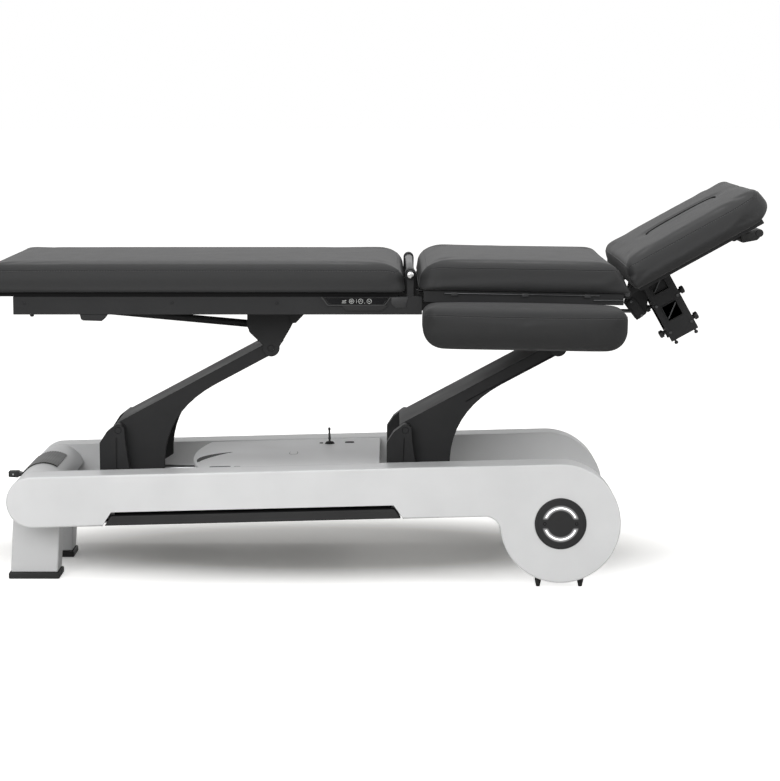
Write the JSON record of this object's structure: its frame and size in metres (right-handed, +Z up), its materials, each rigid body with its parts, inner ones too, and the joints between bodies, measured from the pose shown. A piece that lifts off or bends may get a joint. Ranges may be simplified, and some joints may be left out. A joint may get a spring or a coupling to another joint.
{
  "type": "electric massage table",
  "caption": "Electric massage table with a white low base, parallelogram lift, padded tilting sections, drop armrests, foot-bar switch and lit hubs.",
  "frame": {"origin": "floor level, below the middle of the outline", "axes": "+X to the head end, +Y to the far side (the control panel is on -Y), +Z up"},
  "size_m": [1.9728, 0.99, 0.9938],
  "materials": {
    "white_shell": "satin moulded white shell",
    "grey_shell": "satin light grey shell",
    "white_metal": "white powder coat",
    "dark_metal": "matte dark grey powder coat",
    "steel": "bright steel",
    "chrome_bar": "polished chrome",
    "black_plastic": "fine-grained black",
    "spring_body": "black paint",
    "gloss_black": "gloss black panel",
    "hub_plastic": "satin dark grey",
    "rubber": "black rubber",
    "light": "white diffuser, lit",
    "leather": "dark grey leatherette"
  },
  "bodies": {
    "base": {"chassis_frame": "white_metal", "side_cover_near": "white_shell", "side_cover_far": "white_shell", "deck_cover": "grey_shell", "nose_cover": "white_shell", "nose_grip_pad": "rubber", "foot_leg_near": "white_metal", "foot_leg_far": "white_metal", "foot_sole_near": "rubber", "foot_sole_far": "rubber", "head_foot_near_a": "rubber", "head_foot_near_b": "rubber", "head_foot_far_a": "rubber", "head_foot_far_b": "rubber", "hub_disc_near": "hub_plastic", "hub_disc_far": "hub_plastic", "light_arc_near_upper": "light", "light_arc_near_lower": "light", "light_arc_far_upper": "light", "light_arc_far_lower": "light", "pedestal_foot": "dark_metal", "pedestal_head": "dark_metal", "lower_pin_foot": "steel", "lower_pin_head": "steel", "actuator_body": "black_plastic", "foot_bar_rod_near": "steel", "foot_bar_rod_far": "steel", "toggle_boot": "rubber", "pedal_pin": "steel"},
    "foot_arm": {"lift_arm_foot": "dark_metal"},
    "head_arm": {"lift_arm_head": "dark_metal"},
    "top": {"top_frame": "dark_metal", "upper_pin_foot": "steel", "upper_pin_head": "steel", "frame_stay": "dark_metal", "main_board": "black_plastic", "main_cushion": "leather", "gap_bar": "chrome_bar", "control_housing": "black_plastic", "control_glass": "gloss_black"},
    "middle": {"middle_frame": "dark_metal", "middle_cushion": "leather", "head_hinge_rod": "steel", "head_spring_cylinder": "spring_body"},
    "head": {"head_frame": "dark_metal", "head_cushion": "leather", "face_plug": "leather"},
    "release_lever": {"release_lever": "black_plastic"},
    "head_spring_rod": {"head_spring_rod": "steel"},
    "armrest_link_near": {"armrest_link_near": "dark_metal"},
    "armrest_link_far": {"armrest_link_far": "dark_metal"},
    "armrest_near": {"armrest_bracket_near": "dark_metal", "armrest_pad_near": "leather"},
    "armrest_far": {"armrest_bracket_far": "dark_metal", "armrest_pad_far": "leather"},
    "foot_bar_near": {"foot_bar_near": "black_plastic"},
    "foot_bar_far": {"foot_bar_far": "black_plastic"},
    "pedal": {"caster_pedal": "black_plastic"},
    "toggle": {"deck_toggle": "black_plastic"},
    "actuator_rod": {"actuator_rod": "steel"}
  },
  "joints": [
    {"name": "lift", "type": "hinge", "parent": "base", "child": "foot_arm", "pos_m": [-0.67543, 0, 0.383], "axis": [0, -1, 0], "range_deg": [-35, 36]},
    {"name": "head_arm_swing", "type": "hinge", "parent": "base", "child": "head_arm", "pos_m": [0.06057, 0, 0.383], "axis": [0, -1, 0], "range_deg": [-35, 36]},
    {"name": "top_level", "type": "hinge", "parent": "foot_arm", "child": "top", "pos_m": [-0.28377, 0, 0.59213], "axis": [0, -1, 0], "range_deg": [-36, 35]},
    {"name": "actuator_slide", "type": "slide", "parent": "base", "child": "actuator_rod", "axis": [1, 0, 0], "range_m": [-0.09, 0.09]},
    {"name": "middle_tilt", "type": "hinge", "parent": "top", "child": "middle", "pos_m": [0.07157, 0, 0.795], "axis": [0, -1, 0], "range_deg": [0, 60]},
    {"name": "head_tilt", "type": "hinge", "parent": "middle", "child": "head", "pos_m": [0.62161, 0, 0.73539], "axis": [0, -1, 0], "range_deg": [-76, 0]},
    {"name": "head_spring_slide", "type": "slide", "parent": "middle", "child": "head_spring_rod", "axis": [0.9998, 0, -0.0175], "range_m": [-0.095, 0]},
    {"name": "armrest_swing_near", "type": "hinge", "parent": "middle", "child": "armrest_link_near", "pos_m": [0.06956, -0.2397, 0.68002], "axis": [-0.9998, 0, 0.0175], "range_deg": [0, 53]},
    {"name": "armrest_swing_far", "type": "hinge", "parent": "middle", "child": "armrest_link_far", "pos_m": [0.06956, 0.2397, 0.68002], "axis": [0.9998, 0, -0.0175], "range_deg": [0, 53]},
    {"name": "armrest_level_near", "type": "hinge", "parent": "armrest_link_near", "child": "armrest_near", "pos_m": [0.06877, -0.32904, 0.63509], "axis": [-0.9998, 0, 0.0175], "range_deg": [-53, 0]},
    {"name": "armrest_level_far", "type": "hinge", "parent": "armrest_link_far", "child": "armrest_far", "pos_m": [0.06877, 0.32904, 0.63509], "axis": [0.9998, 0, -0.0175], "range_deg": [-53, 0]},
    {"name": "foot_bar_rock_near", "type": "hinge", "parent": "base", "child": "foot_bar_near", "pos_m": [-0.32473, -0.245, 0.20053], "axis": [0.9997, 0, 0.0252], "range_deg": [-5, 5], "stiffness_Nm_per_rad": 20, "springref_deg": -0.82},
    {"name": "foot_bar_rock_far", "type": "hinge", "parent": "base", "child": "foot_bar_far", "pos_m": [-0.32473, 0.245, 0.20053], "axis": [0.9997, 0, 0.0252], "range_deg": [-5, 5], "stiffness_Nm_per_rad": 20, "springref_deg": 0.82},
    {"name": "pedal_press", "type": "hinge", "parent": "base", "child": "pedal", "pos_m": [-0.85543, 0, 0.24], "axis": [0, -1, 0], "range_deg": [0, 15], "stiffness_Nm_per_rad": 3, "springref_deg": -11.46},
    {"name": "toggle_tilt", "type": "hinge", "parent": "base", "child": "toggle", "pos_m": [-0.14137, 0.135, 0.30797], "axis": [0, 1, 0], "range_deg": [-15, 15], "stiffness_Nm_per_rad": 0.3},
    {"name": "release_squeeze", "type": "hinge", "parent": "head", "child": "release_lever", "pos_m": [0.91409, 0, 0.86779], "axis": [0, -1, 0], "range_deg": [0, 18], "stiffness_Nm_per_rad": 1.5, "springref_deg": -11.46}
  ],
  "couplings": [
    {"joint": "head_arm_swing", "follows": "lift", "ratio": 1},
    {"joint": "top_level", "follows": "lift", "ratio": -1},
    {"joint": "actuator_slide", "follows": "lift", "m_per_rad": 0.1375},
    {"joint": "head_spring_slide", "follows": "head_tilt", "m_per_rad": 0.0707},
    {"joint": "armrest_level_near", "follows": "armrest_swing_near", "ratio": -1},
    {"joint": "armrest_level_far", "follows": "armrest_swing_far", "ratio": -1}
  ]
}
